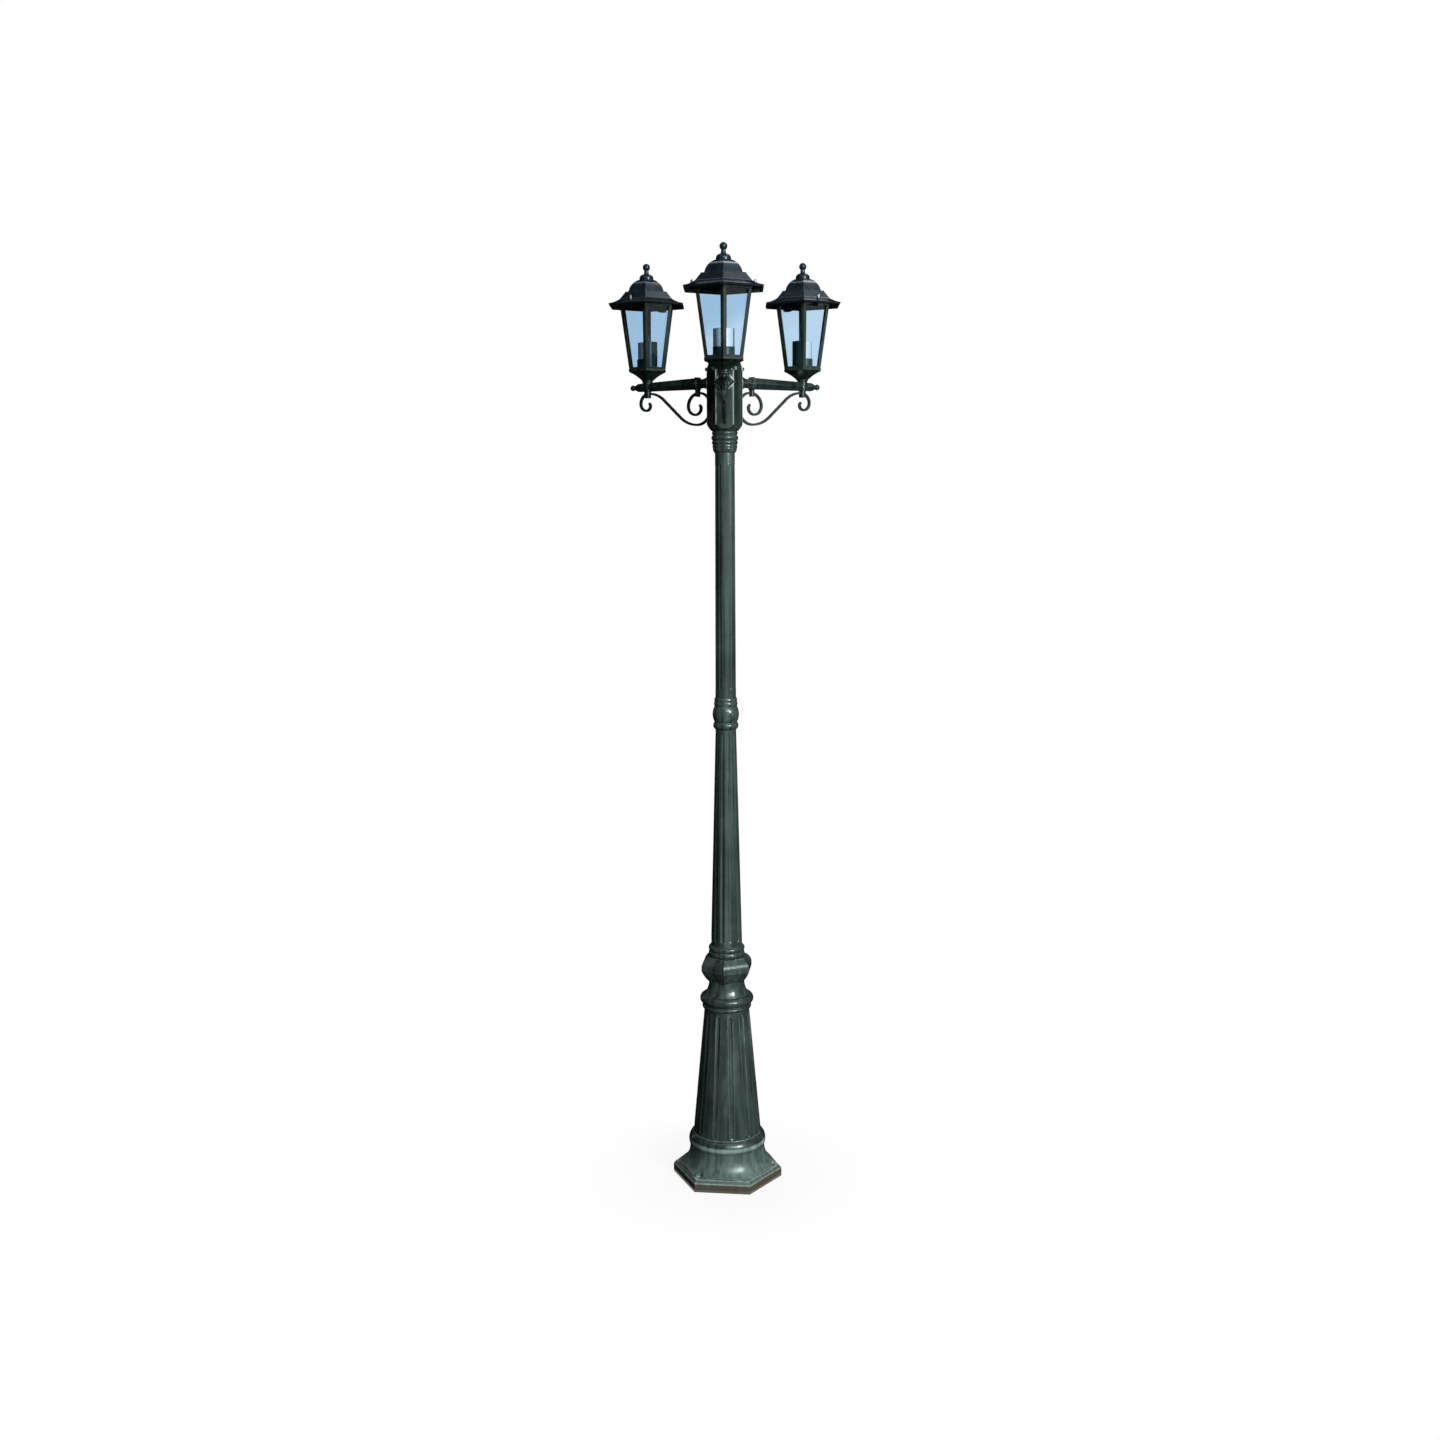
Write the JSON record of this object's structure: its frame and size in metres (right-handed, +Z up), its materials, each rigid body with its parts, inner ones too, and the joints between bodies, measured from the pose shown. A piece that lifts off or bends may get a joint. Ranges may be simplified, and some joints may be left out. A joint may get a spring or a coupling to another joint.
{
  "type": "triple head lamp post",
  "caption": "Garden lamp post: hexagonal lanterns on scrolled arms around a hub, on a fluted two-stage post with a bell foot.",
  "frame": {"origin": "centre of the foot's bolt circle, on the post's axis at floor level", "axes": "+Z up along the post; -Y points the way the front arm does; the other two arms stand a third of a turn either side"},
  "size_m": [0.5276, 0.5057, 2.15],
  "materials": {
    "foot_paint": "antique dark green over black, bronze rubbed edges",
    "post_paint": "antique dark green over black, satin",
    "scroll_paint": "antique dark green over black, satin",
    "cage_paint": "antique dark green over black, satin",
    "cup_paint": "dark green satin paint",
    "roof_paint": "blue-black satin with a faint bronze sheen",
    "glass": "clear, faint blue",
    "screws": "darkened steel",
    "holder_white": "white, smooth",
    "terminal_white": "white nylon",
    "contact_brass": "plain brass",
    "plated_steel": "zinc plated"
  },
  "bodies": {
    "root": {"arm_front": "post_paint", "arm_hub": "post_paint", "arm_left": "post_paint", "arm_right": "post_paint", "cage_front": "cage_paint", "cage_left": "cage_paint", "cage_right": "cage_paint", "centre_contacts": "contact_brass", "faceted_collar": "post_paint", "glass_front": "glass", "glass_left": "glass", "glass_right": "glass", "head_collar": "post_paint", "holder_cups": "cup_paint", "hub_cap": "post_paint", "hub_cap_screws": "screws", "inner_clips": "scroll_paint", "lampholders": "holder_white", "lower_post": "post_paint", "middle_collar": "post_paint", "nipples": "plated_steel", "outer_clips": "scroll_paint", "pedestal": "foot_paint", "screw_shells": "contact_brass", "scroll_front": "scroll_paint", "scroll_left": "scroll_paint", "scroll_right": "scroll_paint", "terminal_block": "terminal_white", "tray_front": "cage_paint", "tray_left": "cage_paint", "tray_right": "cage_paint", "upper_post": "post_paint"},
    "roof_front": {"roof_front": "roof_paint", "roof_screws_front": "screws"},
    "roof_right": {"roof_right": "roof_paint", "roof_screws_right": "screws"},
    "roof_left": {"roof_left": "roof_paint", "roof_screws_left": "screws"}
  },
  "joints": [
    {"name": "roof_front_lift", "type": "slide", "parent": "root", "child": "roof_front", "axis": [0, 0, 1], "range_m": [0, 0.1]},
    {"name": "roof_right_lift", "type": "slide", "parent": "root", "child": "roof_right", "axis": [0, 0, 1], "range_m": [0, 0.1]},
    {"name": "roof_left_lift", "type": "slide", "parent": "root", "child": "roof_left", "axis": [0, 0, 1], "range_m": [0, 0.1]}
  ]
}
